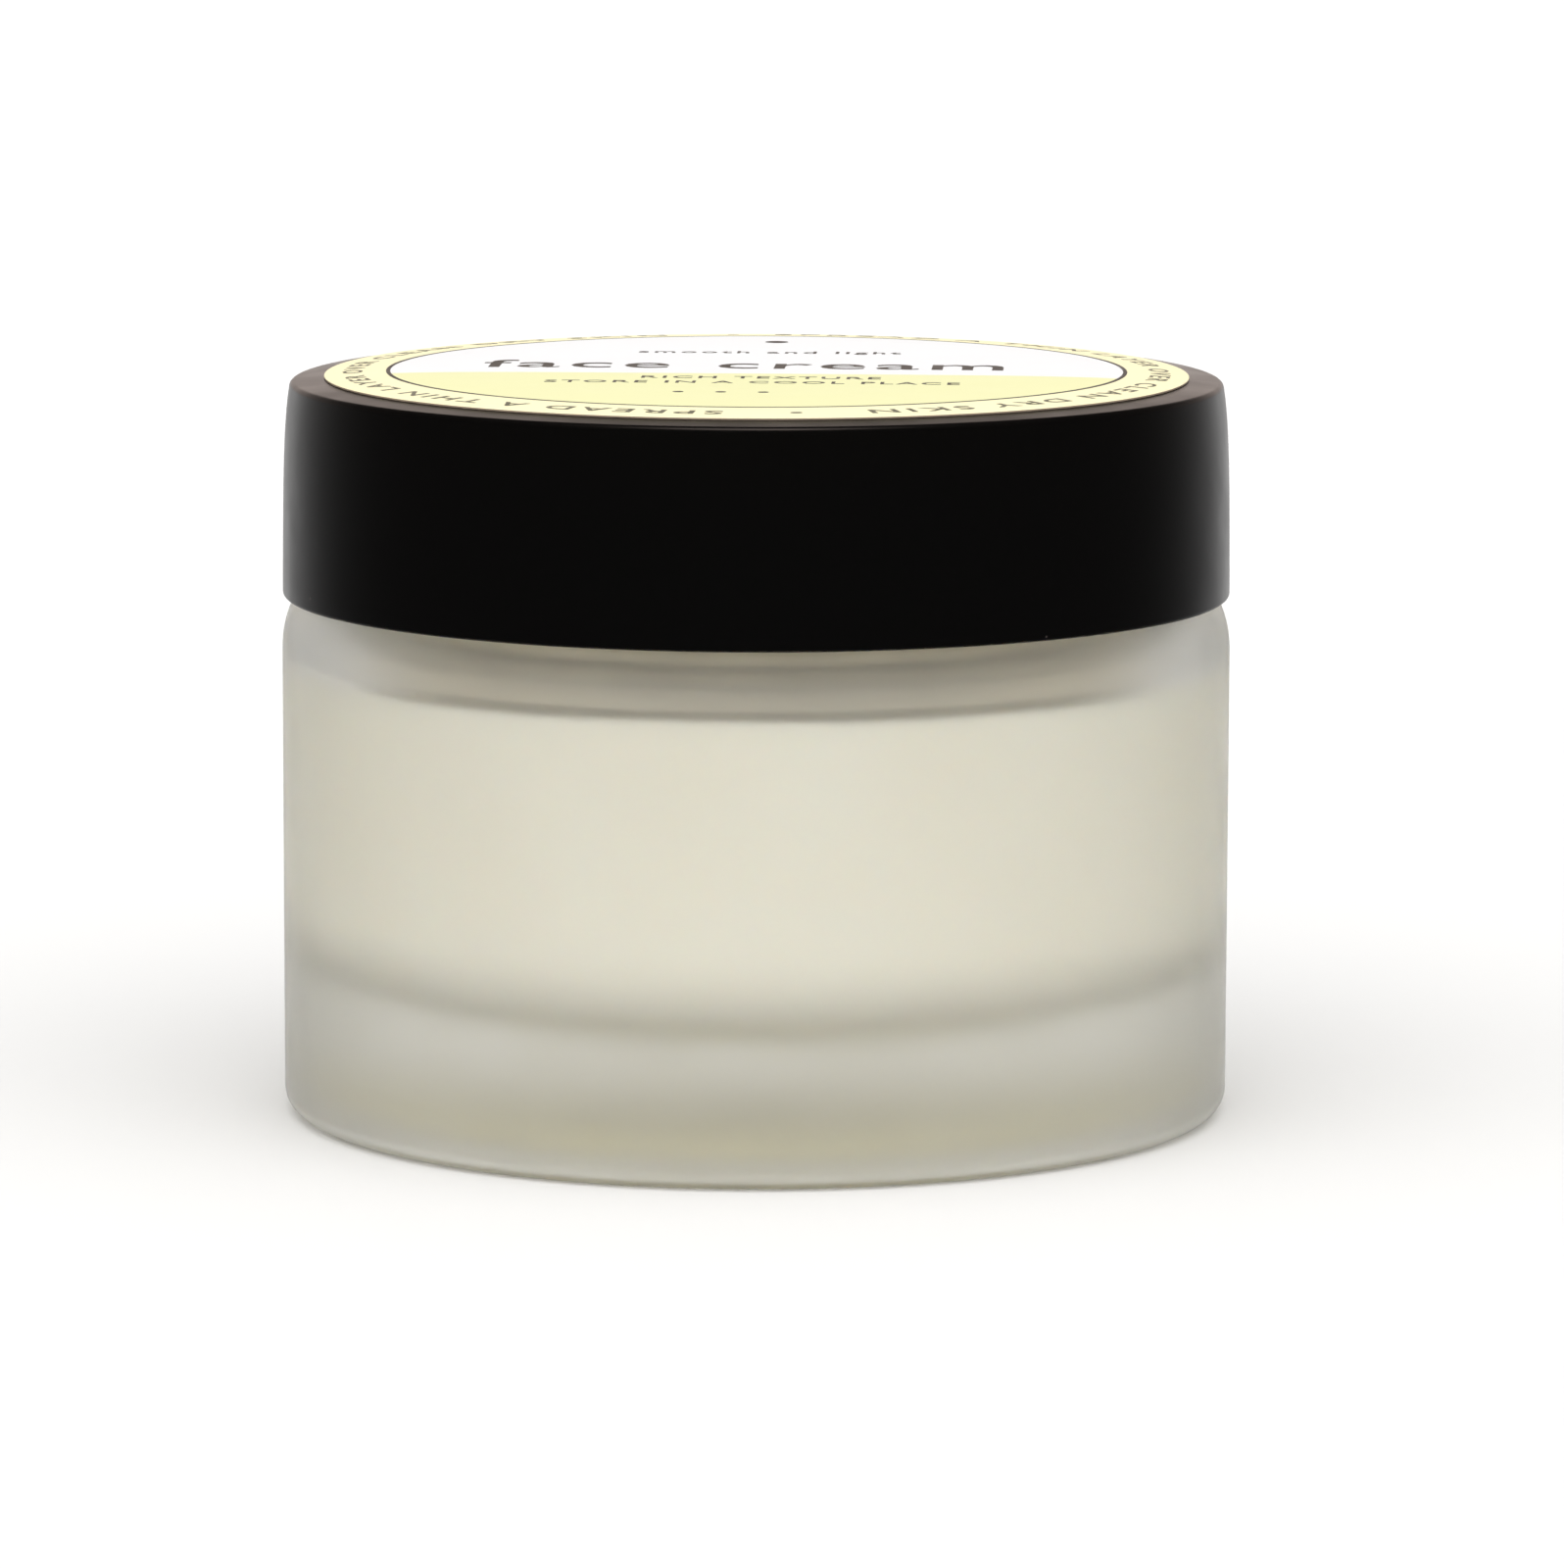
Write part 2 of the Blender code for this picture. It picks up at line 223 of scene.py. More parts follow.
def smooth(value):
    value = min(1.0, max(0.0, value))
    return value * value * (3 - 2 * value)


def ridge(angle, height, bottom_z, first_angle, sweep):
    """How far a thread ridge stands out of its wall at a point, in millimetres."""
    reach = 0.0
    for start in range(THREAD_STARTS):
        turn = (angle - first_angle - math.tau * start / THREAD_STARTS) % math.tau
        if turn > sweep:
            continue
        off_centre = abs(height - bottom_z - THREAD_LEAD * turn / math.tau)
        flank = (THREAD_ROOT_WIDTH / 2 - off_centre) / ((THREAD_ROOT_WIDTH - THREAD_CREST_WIDTH) / 2)
        fade = min(1.0, turn / THREAD_FADE, (sweep - turn) / THREAD_FADE)
        reach = max(reach, THREAD_HEIGHT * smooth(flank) * smooth(fade))
    return reach


def spline_depth(angle):
    """Depth of the anti-turn splines' lobes at an angle."""
    lobe = math.tau / SPLINE_COUNT
    off_centre = abs((angle - lobe * 0.125) % lobe - lobe / 2)
    return SPLINE_DEPTH * smooth((lobe * 0.375 - off_centre) / (lobe * 0.25))


def to_object(mesh, name, finishes):
    """Turn a bmesh in millimetres into a smooth-shaded object with its materials."""
    bmesh.ops.recalc_face_normals(mesh, faces=mesh.faces)
    bmesh.ops.scale(mesh, vec=(MM, MM, MM), verts=mesh.verts)
    data = bpy.data.meshes.new(name)
    mesh.to_mesh(data)
    mesh.free()
    for finish in finishes:
        data.materials.append(finish)
    data.shade_smooth()
    data.set_sharp_from_angle(angle=SHARP_EDGE)
    made = bpy.data.objects.new(name, data)
    bpy.context.scene.collection.objects.link(made)
    return made


def revolve(name, parts, finishes, shape=None, segments=SEGMENTS):
    """A closed solid turned from an outline that runs from axis to axis.

    parts is a list of (points, material index). shape(radius, height, angle) may move a point
    to another (radius, height).
    """
    mesh = bmesh.new()
    rings = []
    for points, finish_index in parts:
        for radius, height in points:
            if radius == 0:
                top = shape(0.0, height, 0.0)[1] if shape else height
                rings.append(([mesh.verts.new((0.0, 0.0, top))], finish_index))
                continue
            ring = []
            for index in range(segments):
                angle = math.tau * index / segments
                reach, level = shape(radius, height, angle) if shape else (radius, height)
                ring.append(mesh.verts.new((reach * math.cos(angle), reach * math.sin(angle), level)))
            rings.append((ring, finish_index))
    for (lower, _), (upper, finish_index) in zip(rings, rings[1:]):
        for index in range(segments):
            after = (index + 1) % segments
            if len(lower) == 1:
                corners = (lower[0], upper[after], upper[index])
            elif len(upper) == 1:
                corners = (lower[index], lower[after], upper[0])
            else:
                corners = (lower[index], lower[after], upper[after], upper[index])
            mesh.faces.new(corners).material_index = finish_index
    return to_object(mesh, name, finishes)


def box_with_round_edges(name, size, radius, centre, finishes):
    mesh = bmesh.new()
    bmesh.ops.create_cube(mesh, size=1.0)
    bmesh.ops.scale(mesh, vec=size, verts=mesh.verts)
    bmesh.ops.bevel(mesh, geom=list(mesh.edges), offset=radius, segments=4, profile=0.5, affect="EDGES")
    bmesh.ops.translate(mesh, vec=centre, verts=mesh.verts)
    return to_object(mesh, name, finishes)


def bowl(gap):
    """The cavity from its wall down to the axis, or a surface a gap inside it."""
    wall = CAVITY_RADIUS - gap
    corner = CAVITY_CORNER - gap
    curve = CAVITY_BOWL - gap
    centre_z = CAVITY_FLOOR_Z + CAVITY_BOWL
    lean = math.asin((wall - corner) / (curve - corner))
    corner_centre = (wall - corner, centre_z - (curve - corner) * math.cos(lean))
    meeting = math.degrees(lean) - 90
    points = arc(corner_centre, (corner, corner), 0, meeting, 14)
    points += arc((0, centre_z), (curve, curve), meeting, -90, 12)[1:-1]
    return points + [(0, CAVITY_FLOOR_Z + gap)]


def crown_z(radius, top_z):
    """Height of a surface that follows the lid's crown, which falls away towards its edge."""
    return top_z - CROWN_DROP * (radius / CROWN_RADIUS) ** CROWN_POWER


def crown_points(outer, inner, top_z, count):
    """The lid's crown from an outer radius to an inner one."""
    radii = [outer + (inner - outer) * step / count for step in range(count + 1)]
    return [(radius, crown_z(radius, top_z)) for radius in radii]


# ---------------------------------------------------------------- materials


class Nodes:
    """Short ways to build a node tree. A value is a number, a colour or another node's output."""

    def __init__(self, tree):
        self.tree = tree

    def add(self, kind, **settings):
        node = self.tree.nodes.new(kind)
        for name, value in settings.items():
            setattr(node, name, value)
        return node

    def link(self, source, target):
        self.tree.links.new(source, target)

    def fill(self, socket, value):
        if isinstance(value, tuple):
            socket.default_value = (*value, 1.0)
        elif isinstance(value, (int, float)):
            socket.default_value = value
        else:
            self.link(value, socket)

    def math(self, operation, *values, **settings):
        node = self.add("ShaderNodeMath", operation=operation, **settings)
        for socket, value in zip(node.inputs, values):
            self.fill(socket, value)
        return node.outputs[0]

    def between(self, source, low, high, start=0.3, end=0.7, curve="LINEAR"):
        """A value from low to high as source goes from start to end."""
        node = self.add("ShaderNodeMapRange", interpolation_type=curve)
        for name, value in (("From Min", start), ("From Max", end), ("To Min", low), ("To Max", high)):
            node.inputs[name].default_value = value
        self.link(source, node.inputs["Value"])
        return node.outputs["Result"]

    def blend(self, factor, first, second):
        """A colour from first to second."""
        node = self.add("ShaderNodeMix", data_type="RGBA")
        self.link(factor, node.inputs["Factor"])
        for name, value in (("A", first), ("B", second)):
            socket = [i for i in node.inputs if i.name == name and i.type == "RGBA"][0]
            self.fill(socket, value)
        return [o for o in node.outputs if o.type == "RGBA"][0]


class Finish(Nodes):
    """A Principled material and short ways to add patterns to it."""

    def __init__(self, name, colour, roughness, **sockets):
        self.material = bpy.data.materials.new(name)
        self.material.use_nodes = True
        super().__init__(self.material.node_tree)
        self.shader = self.tree.nodes["Principled BSDF"]
        self.set("Base Color", (*colour, 1.0))
        self.set("Roughness", roughness)
        for socket, value in sockets.items():
            self.set(socket.replace("_", " "), value)
        self.place = self.add("ShaderNodeTexCoord").outputs["Object"]

    def set(self, socket, value):
        self.shader.inputs[socket].default_value = value

    def drive(self, socket, source):
        self.link(source, self.shader.inputs[socket])

    def noise(self, grain_mm, detail=3.0, roughness=0.5):
        """Noise from 0 to 1 with grains of about this size."""
        node = self.add("ShaderNodeTexNoise")
        node.inputs["Scale"].default_value = 1.0 / (grain_mm * MM)
        node.inputs["Detail"].default_value = detail
        node.inputs["Roughness"].default_value = roughness
        self.link(self.place, node.inputs["Vector"])
        return node.outputs["Fac"]

    def specks(self, spacing_mm, size, share):
        """1 inside round specks of size times the spacing, in a share of the cells."""
        cells = self.add("ShaderNodeTexVoronoi")
        cells.inputs["Scale"].default_value = 1.0 / (spacing_mm * MM)
        self.link(self.place, cells.inputs["Vector"])
        chosen = self.add("ShaderNodeSeparateColor")
        self.link(cells.outputs["Color"], chosen.inputs[0])
        near = self.math("LESS_THAN", cells.outputs["Distance"], size)
        picked = self.math("LESS_THAN", chosen.outputs[0], share)
        return self.math("MULTIPLY", near, picked)

    def bump(self, source, height_mm, strength=1.0):
        node = self.add("ShaderNodeBump")
        node.inputs["Distance"].default_value = height_mm * MM
        node.inputs["Strength"].default_value = strength
        self.link(source, node.inputs["Height"])
        self.drive("Normal", node.outputs["Normal"])


def jar_glass():
    """Glass that is etched outside and clear in the cavity and on the neck, with a grey body tint. Above the
    cream its inner wall has a cream-film tint, darkened as painted shade under the lid.
    """
    glass = Finish("frosted_glass", CLEAR_GLASS, 0.36, Transmission_Weight=1.0, IOR=1.5)
    axes = glass.add("ShaderNodeSeparateXYZ")
    glass.link(glass.place, axes.inputs[0])
    across = glass.math("MULTIPLY", axes.outputs["X"], axes.outputs["X"])
    along = glass.math("MULTIPLY", axes.outputs["Y"], axes.outputs["Y"])
    radius = glass.math("SQRT", glass.math("ADD", across, along))
    wall = glass.math("GREATER_THAN", radius, (CAVITY_RADIUS + 0.1) * MM)
    below_neck = glass.math("LESS_THAN", axes.outputs["Z"], (LEDGE_Z + 0.3) * MM)
    foot = glass.math("LESS_THAN", axes.outputs["Z"], CAVITY_FLOOR_Z / 2 * MM)
    etched = glass.math("MAXIMUM", glass.math("MULTIPLY", wall, below_neck), foot)
    above_cream = glass.math("GREATER_THAN", axes.outputs["Z"], CREAM_LEVEL_Z * MM)
    film_and_painted_shade_zone = glass.math("MULTIPLY", above_cream, glass.math("SUBTRACT", below_neck, wall))
    # Above the cream the inner wall gets a cream-film tint, darkened as painted shade under the lid.
    glass.drive("Base Color", glass.blend(film_and_painted_shade_zone, CLEAR_GLASS, CREAM_FILM_AND_PAINTED_SHADE))
    rough = glass.between(glass.noise(6.0), 0.33, 0.40)
    glass.drive("Roughness", glass.math("MULTIPLY_ADD", etched, rough, CLEAR_ROUGHNESS))
    veil = glass.between(axes.outputs["Z"], FOOT_VEIL, SHOULDER_VEIL, CAVITY_FLOOR_Z * MM, LEDGE_Z * MM)
    glass.drive("Transmission Weight", glass.math("SUBTRACT", 1.0, glass.math("MULTIPLY", etched, veil)))
    body = glass.add("ShaderNodeVolumeAbsorption")
    body.inputs["Color"].default_value = (0.905, 0.900, 0.865, 1.0)
    body.inputs["Density"].default_value = 38.0
    output = [node for node in glass.tree.nodes if node.type == "OUTPUT_MATERIAL"][0]
    glass.link(body.outputs[0], output.inputs["Volume"])
    return glass.material


def cream_finish():
    cream = Finish("cream", (0.94, 0.91, 0.79), 0.42, Subsurface_Weight=0.25, IOR=1.4)
    cream.set("Subsurface Radius", (1.0, 0.8, 0.5))
    cream.set("Subsurface Scale", 2.0 * MM)
    tone = cream.between(cream.noise(9.0, 2.0), 0.0, 1.0)
    cream.drive("Base Color", cream.blend(tone, (0.925, 0.89, 0.765), (0.945, 0.92, 0.805)))
    cream.bump(cream.noise(1.6), 0.05)
    return cream.material


def black_satin():
    black = (0.0012, 0.0009, 0.0009)
    satin = Finish("black_satin", black, 0.3, IOR=1.5)
    dust = satin.specks(2.3, 0.05, 0.16)
    satin.drive("Base Color", satin.blend(dust, black, (0.05, 0.04, 0.04)))
    satin.drive("Roughness", satin.between(satin.noise(5.0), 0.28, 0.34))
    satin.bump(satin.noise(0.22), 0.003)
    return satin.material


def label_sheet_finish():
    """White above the tone edge, pale yellow below it."""
    white, yellow = (0.77, 0.77, 0.78), (0.76, 0.75, 0.425)
    sheet = Finish("label_two_tone", white, 0.5)
    sheet.set("Specular IOR Level", 0.2)
    axes = sheet.add("ShaderNodeSeparateXYZ")
    sheet.link(sheet.place, axes.inputs[0])
    across = sheet.math("MULTIPLY", axes.outputs["X"], -math.sin(PRINT_TURN))
    along = sheet.math("MULTIPLY", axes.outputs["Y"], math.cos(PRINT_TURN))
    below = sheet.math("LESS_THAN", sheet.math("ADD", across, along), TONE_EDGE_Y * MM)
    sheet.drive("Base Color", sheet.blend(below, white, yellow))
    sheet.drive("Roughness", sheet.between(sheet.noise(4.0), 0.46, 0.54))
    return sheet.material


def plain_finish(name, colour, roughness, grain_mm, depth_mm, shade=0.94, **sockets):
    """A surface with patches that are a little darker and rougher, and a grain if it has a depth."""
    plain = Finish(name, colour, roughness, **sockets)
    patch = plain.between(plain.noise(grain_mm * 14, 2.0), 0.0, 1.0)
    darker = tuple(channel * shade for channel in colour)
    plain.drive("Base Color", plain.blend(patch, darker, colour))
    plain.drive("Roughness", plain.between(patch, roughness * 1.1, roughness * 0.92, 0.0, 1.0))
    if depth_mm:
        plain.bump(plain.noise(grain_mm), depth_mm)
    return plain.material


# ---------------------------------------------------------------- pieces


def add_piece(piece, body, slot, *nodes):
    """Put a piece on its body and let it stand for its CAD nodes, which it hides. Its slot is not used."""
    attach(piece, body)
    if nodes:
        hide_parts(*nodes)
    return piece


def jar_piece():
    outside = rounded([(0, BASE_RECESS, 0), (FOOT_INNER_RADIUS - 0.6, BASE_RECESS, 0.3),
                       (FOOT_INNER_RADIUS, 0, 0.25), (JAR_RADIUS - HEEL_ROUND, 0, 0)])
    heel = (JAR_RADIUS - HEEL_ROUND, HEEL_ROUND)
    outside += arc(heel, (HEEL_ROUND, HEEL_ROUND), -90, 0, 10)[1:]
    shoulder = (JAR_RADIUS - SHOULDER_INSET, SHOULDER_START_Z)
    outside += arc(shoulder, (SHOULDER_INSET, SHOULDER_RISE), 0, 86, 18)
    outside += rounded([(NECK_RADIUS + 1.2, LEDGE_Z, 0), (NECK_RADIUS, LEDGE_Z, 0.6),
                        (NECK_RADIUS, RIM_Z, 0.6), (MOUTH_RADIUS + 1.5, RIM_Z, 0)])
    outside = dense(outside, LEDGE_Z + 0.5, RIM_Z - 0.6, 0.08)
    inside = rounded([(MOUTH_RADIUS + 1.2, RIM_Z, 0), (MOUTH_RADIUS, RIM_Z, 0.6),
                      (MOUTH_RADIUS, THROAT_Z, 1.6), (CAVITY_RADIUS - 0.5, 32.6, 2.2),
                      (CAVITY_RADIUS, CAVITY_TOP_Z, 1.2), (CAVITY_RADIUS, CAVITY_MIDDLE_Z, 0)], 7)
    inside += bowl(0.0)

    def shape(radius, height, angle):
        if radius > NECK_RADIUS - 0.1 and height > LEDGE_Z + 0.4:
            radius += ridge(angle, height, JAR_THREAD_BOTTOM_Z, 0.0, JAR_THREAD_SWEEP)
        return radius, height

    jar = revolve("jar_glass", [(outside + inside, 0)], [jar_glass()], shape)
    add_piece(jar, "jar", "frosted_glass", "glass_jar")


def cream_piece():
    wall = CAVITY_RADIUS + CREAM_WETTING
    points = bowl(-CREAM_WETTING)[::-1]
    flat = wall - CREAM_EDGE_WIDTH
    points += [(wall, CAVITY_MIDDLE_Z)]
    points += rounded([(wall, CREAM_LEVEL_Z - 2.2, 0), (wall, CREAM_LEVEL_Z, 0),
                       (wall - 0.9, CREAM_LEVEL_Z - 0.25, 0.5), (flat, CREAM_SURFACE_Z, 0)])
    for step in range(1, CREAM_RINGS):
        points.append((flat * (1 - step / CREAM_RINGS), CREAM_SURFACE_Z))
    points.append((0, CREAM_SURFACE_Z))

    def shape(radius, height, angle):
        if height < CREAM_SURFACE_Z - 1.0:
            return radius, height
        share = radius / wall
        swirl = math.sin(angle - 7.5 * share) * smooth(share * 3) * (1 - share) * 0.42
        peak = (CREAM_PEAK_Z - CREAM_LEVEL_Z) * math.exp(-((radius / 3.0) ** 2))
        spot = Vector((radius * math.cos(angle), radius * math.sin(angle), 0.0))
        ripple = noise.noise(spot / 6.0) * 0.12 * (1 - share) + noise.noise(spot / 11.0) * 0.10
        return radius, height + swirl + peak + ripple

    cream = revolve("cream_filling", [(points, 0)], [cream_finish()], shape)
    add_piece(cream, "jar", "cream", "cream")


def disc_piece():
    skin = 0.7
    plate = DISC_CUP_Z + skin
    flange_z = DISC_TOP_Z - skin
    cup = 23.6
    rib = 12.0
    corners = [(0, DISC_CUP_Z, 0), (cup, DISC_CUP_Z, 0.5), (cup, flange_z, 0.3), (DISC_RADIUS, flange_z, 0.2),
               (DISC_RADIUS, DISC_TOP_Z, 0.3), (cup - skin, DISC_TOP_Z, 0.3), (cup - skin, plate, 0.5),
               (rib + 0.6, plate, 0.3), (rib + 0.15, plate + 0.5, 0.15), (rib - 0.15, plate + 0.5, 0.15),
               (rib - 0.6, plate, 0.3), (0, plate, 0)]
    finish = plain_finish("sealing_plastic", (0.72, 0.73, 0.71), 0.33, 0.5, 0.01,
                          Subsurface_Weight=0.35, Subsurface_Scale=1.5 * MM)
    disc = revolve("sealing_disc_moulding", [(rounded(corners), 0)], [finish])
    add_piece(disc, "disc", "disc_plastic", "sealing_disc")
    grip = box_with_round_edges("disc_finger_grip", (15.0, 1.8, 1.9), 0.55, (0, 0, plate + 0.75), [finish])
    add_piece(grip, "disc", "disc_plastic")


def liner_piece():
    corners = [(0, LINER_Z, 0), (LINER_RADIUS, LINER_Z, 0.2), (LINER_RADIUS, LINER_TOP_Z, 0.2),
               (0, LINER_TOP_Z, 0)]
    finish = plain_finish("liner_foam", (0.86, 0.86, 0.84), 0.6, 0.35, 0.03)
    liner = revolve("liner_foam_disc", [(rounded(corners), 0)], [finish])
    add_piece(liner, "liner", "liner_foam", "liner_wad")


def cap_piece():
    corners = [(0, CAP_CEILING_Z, 0), (CAP_BORE, CAP_CEILING_Z, 0.4), (CAP_BORE, CAP_BOTTOM_Z, 0.4),
               (CAP_RADIUS, CAP_BOTTOM_Z, 0.2), (CAP_RADIUS, BEAD_Z - BEAD_HALF_WIDTH, 0.2),
               (CAP_BEAD_RADIUS, BEAD_Z, 0.3), (CAP_RADIUS, BEAD_Z + BEAD_HALF_WIDTH, 0.2),
               (CAP_RADIUS, CAP_TOP_Z, 0.5), (0, CAP_TOP_Z, 0)]
    points = dense(rounded(corners), CAP_BOTTOM_Z, CAP_TOP_Z, 0.2)

    def shape(radius, height, angle):
        if radius > CAP_BORE + 0.2:
            ramp = smooth((height - SPLINE_BOTTOM_Z) / SPLINE_RAMP)
            return radius - spline_depth(angle) * ramp, height
        if radius > CAP_BORE - 0.6 and height < CAP_CEILING_Z:
            return radius - ridge(angle, height, CAP_THREAD_BOTTOM_Z, THREAD_FADE, CAP_THREAD_SWEEP), height
        return radius, height

    finish = plain_finish("cap_plastic", (0.82, 0.82, 0.80), 0.38, 0.4, 0.008, Subsurface_Weight=0.1,
                          Subsurface_Scale=1.0 * MM)
    cap = revolve("inner_cap_moulding", [(points, 0)], [finish], shape)
    add_piece(cap, "lid", "cap_plastic", "lid_inner_cap")


def shell_piece():
    groove = SHELL_BORE + 0.45
    inside = rounded([(0, SHELL_CEILING_Z, 0), (SHELL_BORE, SHELL_CEILING_Z, 0.5),
                      (SHELL_BORE, BEAD_Z + BEAD_HALF_WIDTH + FIT_GAP, 0.1), (groove, BEAD_Z + FIT_GAP, 0.1),
                      (groove, BEAD_Z - FIT_GAP, 0.1), (SHELL_BORE, BEAD_Z - BEAD_HALF_WIDTH - FIT_GAP, 0.1),
                      (SHELL_BORE, SHELL_BEVEL_Z, 0.4), (SHELL_RADIUS - 0.55, SHELL_BOTTOM_Z, 0.12),
                      (SHELL_RADIUS, SHELL_BOTTOM_Z, 0.28), (SHELL_RADIUS, SHELL_SIDE_Z, 0)])
    inside = dense(inside, SPLINE_BOTTOM_Z, SHELL_CEILING_Z, 0.25)
    edge_z = crown_z(CROWN_RADIUS, SHELL_TOP_Z) - SHELL_EDGE_ROUND
    outside = []
    for step in range(1, 16):
        share = step / 16
        draw_in = SIDE_DRAW_IN * (0.3 * share + 0.7 * share ** 5)
        outside.append((SHELL_RADIUS - draw_in, SHELL_SIDE_Z + (edge_z - SHELL_SIDE_Z) * share))
    outside += arc((CROWN_RADIUS, edge_z), (SHELL_EDGE_ROUND, SHELL_EDGE_ROUND), 4, 86, 9)
    outside += crown_points(CROWN_RADIUS - 0.1, LABEL_RADIUS - 1.0, SHELL_TOP_Z, 5)
    outside += crown_points(CROWN_START, CROWN_FLAT, SHELL_TOP_Z, 10) + [(0, SHELL_TOP_Z)]

    def shape(radius, height, angle):
        inner = radius < SHELL_BORE + 0.05 and height < SHELL_CEILING_Z + 0.01
        if inner and radius > SHELL_BORE - 1.0 and height > SPLINE_BOTTOM_Z:
            ramp = smooth((height - SPLINE_BOTTOM_Z - SPLINE_RAMP) / SPLINE_RAMP)
            radius -= spline_depth(angle) * ramp
        return radius, height

    shell = revolve("outer_shell_moulding", [(inside + outside, 0)], [black_satin()], shape)
    add_piece(shell, "lid", "black_satin", "lid_outer_shell")


def label_piece():
    lower_z = SHELL_TOP_Z + 0.01
    upper_z = LABEL_TOP_Z - PRINT_THICKNESS
    under = [(0, lower_z)] + crown_points(CROWN_FLAT, LABEL_RADIUS - 0.03, lower_z, 14)
    edge = [(LABEL_RADIUS, crown_z(LABEL_RADIUS, lower_z) + 0.03),
            (LABEL_RADIUS, crown_z(LABEL_RADIUS, upper_z) - 0.03)]
    ring = crown_points(LABEL_RADIUS - 0.03, RING_LINE_RADIUS, upper_z, 6)
    middle = crown_points(RING_LINE_RADIUS, 4.0, upper_z, 14) + [(0, upper_z)]
    ring_finish = plain_finish("label_ring_yellow", (0.86, 0.80, 0.52), 0.5, 0.6, 0.0, 0.98,
                               Specular_IOR_Level=0.2)
    edge_finish = plain_finish("label_cut_edge", (0.30, 0.23, 0.17), 0.5, 0.6, 0.0)
    parts = [(under, 1), (edge, 1), (ring, 2), (middle, 0)]
    label = revolve("lid_label_sheet", parts, [label_sheet_finish(), edge_finish, ring_finish])
    add_piece(label, "lid", "label_paper", "top_label")


def print_solid(name, body, height, bold=0.0, spacing=1.0):
    """Words as a bmesh in millimetres: letters of this height, centred on x, baseline at y = 0."""
    curve = bpy.data.curves.new(name, "FONT")
    curve.body = body
    curve.size = height / CAP_HEIGHT
    curve.align_x = "CENTER"
    curve.space_character = spacing
    curve.offset = bold
    curve.extrude = PRINT_THICKNESS
    curve.resolution_u = 3
    words = bpy.data.objects.new(name, curve)
    bpy.context.scene.collection.objects.link(words)
    bpy.context.view_layer.update()
    data = bpy.data.meshes.new_from_object(words.evaluated_get(bpy.context.evaluated_depsgraph_get()))
    mesh = bmesh.new()
    mesh.from_mesh(data)
    bmesh.ops.remove_doubles(mesh, verts=mesh.verts, dist=1e-5)
    bpy.data.objects.remove(words)
    bpy.data.meshes.remove(data)
    bpy.data.curves.remove(curve)
    return mesh


def lay_flat(mesh, x, y, turn, top_z):
    """Move words onto the label and bend them to its crown."""
    cos, sin = math.cos(turn), math.sin(turn)
    for vert in mesh.verts:
        across, up = vert.co.x + x, vert.co.y + y
        place = Vector((across * cos - up * sin, across * sin + up * cos))
        vert.co = (place.x, place.y, vert.co.z + crown_z(place.length, top_z))


def wrap_round(mesh, radius, start_angle, top_z):
    """Bend a line of words round a circle, clockwise, with the letters' tops outwards."""
    for vert in mesh.verts:
        angle = start_angle - vert.co.x / radius
        reach = radius + vert.co.y
        vert.co = (reach * math.cos(angle), reach * math.sin(angle), vert.co.z + crown_z(reach, top_z))


def lid_print():
    top_z = LABEL_TOP_Z - PRINT_THICKNESS
    ink = plain_finish("label_ink", (0.03, 0.026, 0.015), 0.42, 0.3, 0.0)
    grey_ink = plain_finish("label_fine_ink", (0.13, 0.125, 0.075), 0.42, 0.3, 0.0)
    # name, words, letter height, x, y, boldness, letter spacing, ink
    lines = (
        ("lid_print_title", "face cream", 5.2, -0.8, -0.5, 0.05, 1.12, ink),
        ("lid_print_kind", "smooth and light", 1.5, 0.3, 10.3, 0.02, 1.25, ink),
        ("lid_print_use", "RICH TEXTURE", 1.45, 0.6, -7.4, 0.02, 1.22, ink),
        ("lid_print_care", "STORE IN A COOL PLACE", 1.45, 0.2, -10.6, 0.02, 1.22, ink),
        ("lid_print_dots", "•  •  •", 1.9, -1.5, -17.3, 0.03, 1.1, ink),
    )
    for name, body, height, x, y, bold, spacing, finish in lines:
        mesh = print_solid(name, body, height, bold, spacing)
        lay_flat(mesh, x, y, PRINT_TURN, top_z)
        add_piece(to_object(mesh, name, [finish]), "lid", "label_paper")
    sentence = "SPREAD A THIN LAYER OVER CLEAN DRY SKIN   •   "
    mesh = print_solid("lid_print_ring", sentence * 2, 1.35, 0.03, 1.32)
    length = max(v.co.x for v in mesh.verts) - min(v.co.x for v in mesh.verts)
    stretch = math.tau * RING_TEXT_RADIUS * 0.985 / length
    for vert in mesh.verts:
        vert.co.x *= stretch
        vert.co.y -= 0.5
    wrap_round(mesh, RING_TEXT_RADIUS, math.radians(-94), top_z)
    add_piece(to_object(mesh, "lid_print_ring", [grey_ink]), "lid", "label_paper")
    ring_line("lid_print_line", RING_LINE_RADIUS, RING_LINE_WIDTH, top_z, ink)
    emblem = bmesh.new()
    bmesh.ops.create_circle(emblem, cap_ends=True, radius=0.8, segments=32)
    lay_flat(emblem, 0.4, 19.0, PRINT_TURN, top_z + PRINT_THICKNESS)
    add_piece(to_object(emblem, "lid_print_dot", [ink]), "lid", "label_paper")


